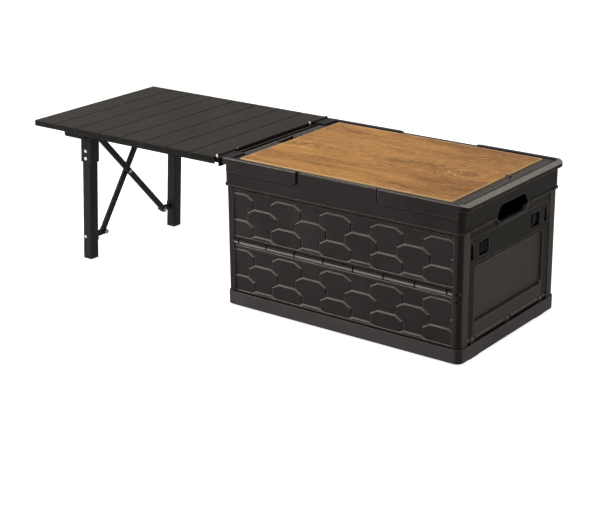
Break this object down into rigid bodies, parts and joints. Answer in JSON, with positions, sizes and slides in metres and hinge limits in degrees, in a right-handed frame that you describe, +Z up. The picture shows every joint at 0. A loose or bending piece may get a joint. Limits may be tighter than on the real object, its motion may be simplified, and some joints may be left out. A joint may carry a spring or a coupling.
{
  "type": "camping box table",
  "caption": "Folding storage crate with a wood-topped lid and a slatted side table hinged to one end, held level by a folding pair of braced legs.",
  "frame": {"origin": "on the floor under the middle of the opened object's bounding box", "axes": "+X from the side table towards the crate's free end, +Z up, -Y the long side with the pictured face"},
  "size_m": [1.1492, 0.405, 0.3342],
  "materials": {
    "crate_plastic": "fine-grained moulded polypropylene",
    "wood": "clear-sealed board with long grain",
    "slat_metal": "dark grey powder coat",
    "cap_plastic": "moulded",
    "leg_metal": "dark satin coat",
    "steel": "bright",
    "foot_plastic": "moulded"
  },
  "bodies": {
    "crate": {"back_base_hinge_rod": "steel", "back_hinge_bracket": "leg_metal", "back_hinge_pin": "steel", "back_mid_hinge_rod": "steel", "back_top_hinge_rod": "steel", "back_wall_lower": "crate_plastic", "back_wall_upper": "crate_plastic", "base_tray": "crate_plastic", "front_base_hinge_rod": "steel", "front_hinge_bracket": "leg_metal", "front_hinge_pin": "steel", "front_mid_hinge_rod": "steel", "front_top_hinge_rod": "steel", "front_wall_lower": "crate_plastic", "front_wall_upper": "crate_plastic", "left_wall_hinge_rod": "steel", "right_wall_hinge_rod": "steel", "top_frame": "crate_plastic"},
    "side_table": {"back_end_caps": "cap_plastic", "back_hinge_arm": "leg_metal", "back_leg_bracket": "leg_metal", "back_leg_pivot_pin": "leg_metal", "back_table_rail": "slat_metal", "front_end_caps": "cap_plastic", "front_hinge_arm": "leg_metal", "front_leg_bracket": "leg_metal", "front_leg_pivot_pin": "leg_metal", "front_table_rail": "slat_metal", "slat_1": "slat_metal", "slat_2": "slat_metal", "slat_3": "slat_metal", "slat_4": "slat_metal", "slat_5": "slat_metal", "slat_6": "slat_metal", "slat_7": "slat_metal", "slat_8": "slat_metal"},
    "leg_frame": {"back_leg": "leg_metal", "back_leg_foot": "foot_plastic", "back_leg_sleeve": "leg_metal", "back_strut": "leg_metal", "back_strut_tab": "leg_metal", "front_leg": "leg_metal", "front_leg_foot": "foot_plastic", "front_leg_sleeve": "leg_metal", "front_strut": "leg_metal", "front_strut_tab": "leg_metal", "leg_cross_tube": "leg_metal", "sleeve_rivets": "steel", "strut_pins": "steel", "strut_tab_rivets": "steel"},
    "left_back_latch": {"left_back_latch": "crate_plastic"},
    "left_end_wall": {"left_end_wall": "crate_plastic"},
    "left_front_latch": {"left_front_latch": "crate_plastic"},
    "lid": {"lid_tray": "crate_plastic", "wood_board": "wood"},
    "right_back_latch": {"right_back_latch": "crate_plastic"},
    "right_end_wall": {"right_end_wall": "crate_plastic"},
    "right_front_latch": {"right_front_latch": "crate_plastic"}
  },
  "joints": [
    {"name": "lid_lift", "type": "slide", "parent": "crate", "child": "lid", "axis": [0, 0, 1], "range_m": [0, 0.12]},
    {"name": "table_fold", "type": "hinge", "parent": "crate", "child": "side_table", "pos_m": [-0.0344, 0, 0.3306], "axis": [0, -1, 0], "range_deg": [-180, 0]},
    {"name": "leg_fold", "type": "hinge", "parent": "side_table", "child": "leg_frame", "pos_m": [-0.4549, 0, 0.295], "axis": [0, -1, 0], "range_deg": [0, 93.8]},
    {"name": "right_wall_fold", "type": "hinge", "parent": "crate", "child": "right_end_wall", "pos_m": [0.5556, 0, 0.038], "axis": [0, -1, 0], "range_deg": [0, 90]},
    {"name": "left_wall_fold", "type": "hinge", "parent": "crate", "child": "left_end_wall", "pos_m": [-0.0104, 0, 0.038], "axis": [0, 1, 0], "range_deg": [0, 90]},
    {"name": "right_front_latch_slide", "type": "slide", "parent": "right_end_wall", "child": "right_front_latch", "axis": [0, 1, 0], "range_m": [0, 0.008], "stiffness_N_per_m": 60},
    {"name": "right_back_latch_slide", "type": "slide", "parent": "right_end_wall", "child": "right_back_latch", "axis": [0, -1, 0], "range_m": [0, 0.008], "stiffness_N_per_m": 60},
    {"name": "left_front_latch_slide", "type": "slide", "parent": "left_end_wall", "child": "left_front_latch", "axis": [0, 1, 0], "range_m": [0, 0.008], "stiffness_N_per_m": 60},
    {"name": "left_back_latch_slide", "type": "slide", "parent": "left_end_wall", "child": "left_back_latch", "axis": [0, -1, 0], "range_m": [0, 0.008], "stiffness_N_per_m": 60}
  ]
}
